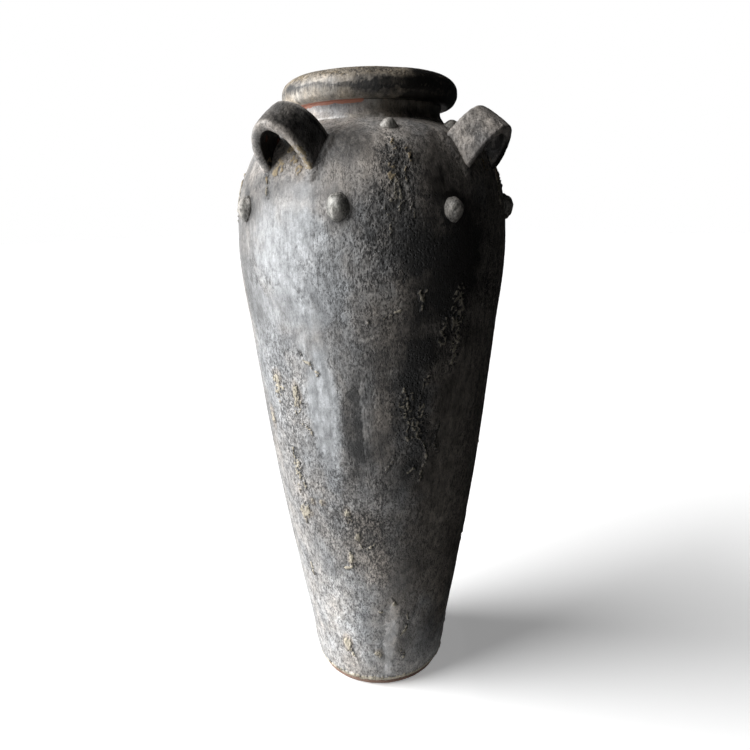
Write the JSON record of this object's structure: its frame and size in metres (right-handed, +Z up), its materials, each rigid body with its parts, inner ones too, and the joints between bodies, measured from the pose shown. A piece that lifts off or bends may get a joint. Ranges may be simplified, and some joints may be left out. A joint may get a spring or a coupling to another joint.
{
  "type": "greek pithos storage jar",
  "caption": "Tall slender clay storage jar with a rolled rim, strap lugs on the shoulder, rows of applied pellets, a tapered body and a small flat foot.",
  "frame": {"origin": "middle of the underside of the base slab, where the jar stands", "axes": "+Z up the jar's own axis; +X, -X, +Y and -Y each pass through the middle of a strap handle"},
  "size_m": [0.4732, 0.4732, 1],
  "materials": {
    "burnished_wall": "smoke-blackened fired clay, patchy satin burnish with pits and pale crust",
    "burnished_shoulder": "smoke-blackened fired clay, satin, rough in patches",
    "weathered_neck": "smoke-blackened fired clay worn to tan on top, bare red under the rim",
    "weathered_handle": "smoke-blackened fired clay, worn edges, bare red inside the bend",
    "rubbed_pellet": "satin fired clay rubbed lighter on the crown",
    "bare_clay": "bare reddish fired clay with a cream crust"
  },
  "bodies": {
    "root": {"base_slab": "bare_clay", "wall_course_1": "burnished_wall", "wall_course_2": "burnished_wall", "wall_course_3": "burnished_wall", "wall_course_4": "burnished_wall", "wall_course_5": "burnished_wall", "wall_course_6": "burnished_wall", "wall_course_7": "burnished_wall", "shoulder": "burnished_shoulder", "neck_collar": "weathered_neck", "rim_roll": "weathered_neck", "strap_handle_1": "weathered_handle", "strap_handle_2": "weathered_handle", "strap_handle_3": "weathered_handle", "strap_handle_4": "weathered_handle", "pellet_1": "rubbed_pellet", "pellet_2": "rubbed_pellet", "pellet_3": "rubbed_pellet", "pellet_4": "rubbed_pellet", "pellet_5": "rubbed_pellet", "pellet_6": "rubbed_pellet", "pellet_7": "rubbed_pellet", "pellet_8": "rubbed_pellet", "button_1": "rubbed_pellet", "button_2": "rubbed_pellet", "button_3": "rubbed_pellet", "button_4": "rubbed_pellet", "button_5": "rubbed_pellet", "button_6": "rubbed_pellet", "button_7": "rubbed_pellet", "button_8": "rubbed_pellet"}
  },
  "joints": []
}
